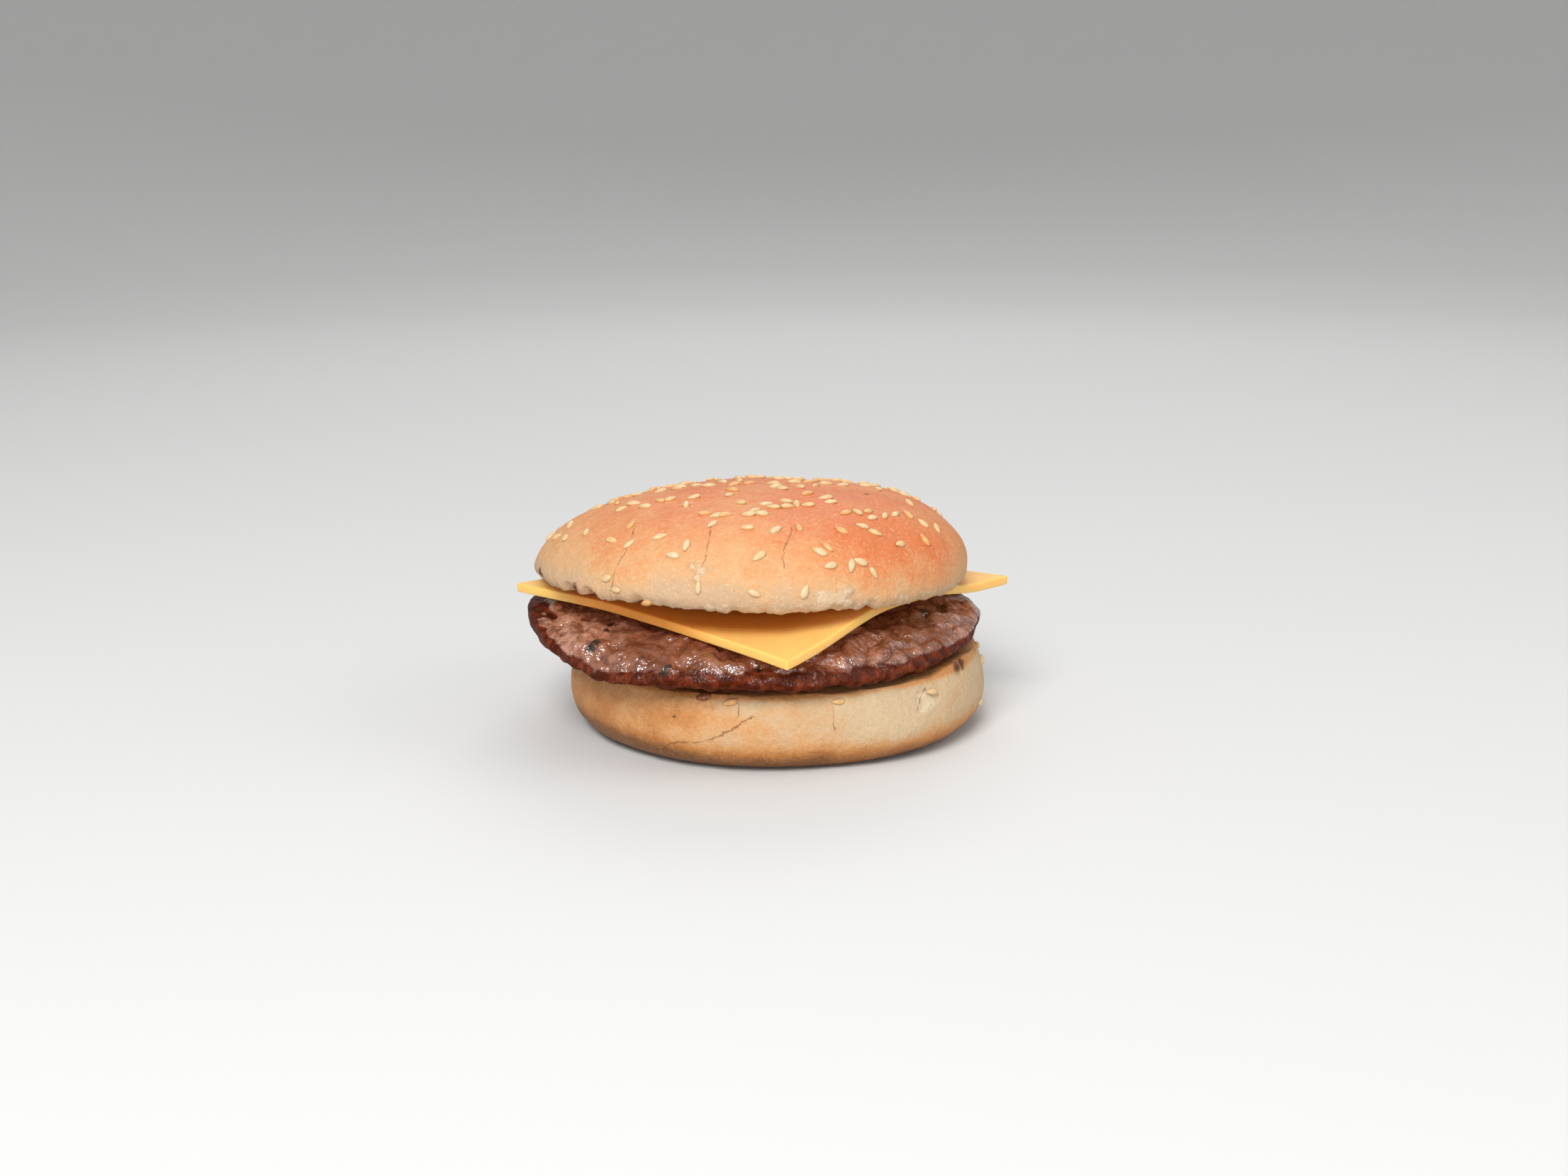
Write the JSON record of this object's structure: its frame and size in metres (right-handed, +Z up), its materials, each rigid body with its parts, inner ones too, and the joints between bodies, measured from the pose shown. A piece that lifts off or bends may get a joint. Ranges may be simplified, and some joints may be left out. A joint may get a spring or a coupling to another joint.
{
  "type": "cheeseburger",
  "caption": "Cheeseburger: sesame bun cut in two round a browned beef patty and a square slice of cheese, whose corners hang out from under the domed crown.",
  "frame": {"origin": "middle of the flat underside of the bun's lower half, on the surface it stands on", "axes": "+Z up through the stack, +X to the right and -Y towards the viewer, where a corner of the cheese hangs down"},
  "size_m": [0.1122, 0.1122, 0.0544],
  "materials": {
    "bread": "matte pale baked bread, toasted darker towards its underside",
    "meat": "wet, coarse browned minced beef with charred spots",
    "cheese": "smooth satin yellow-orange cheese",
    "crust": "thin orange-brown baked crust, paler towards its torn lower edge",
    "seeds": "satin cream sesame seed, some toasted"
  },
  "bodies": {
    "root": {"bun_heel": "bread", "beef_patty": "meat", "cheese_slice": "cheese", "bun_crown": "crust"}
  },
  "joints": []
}
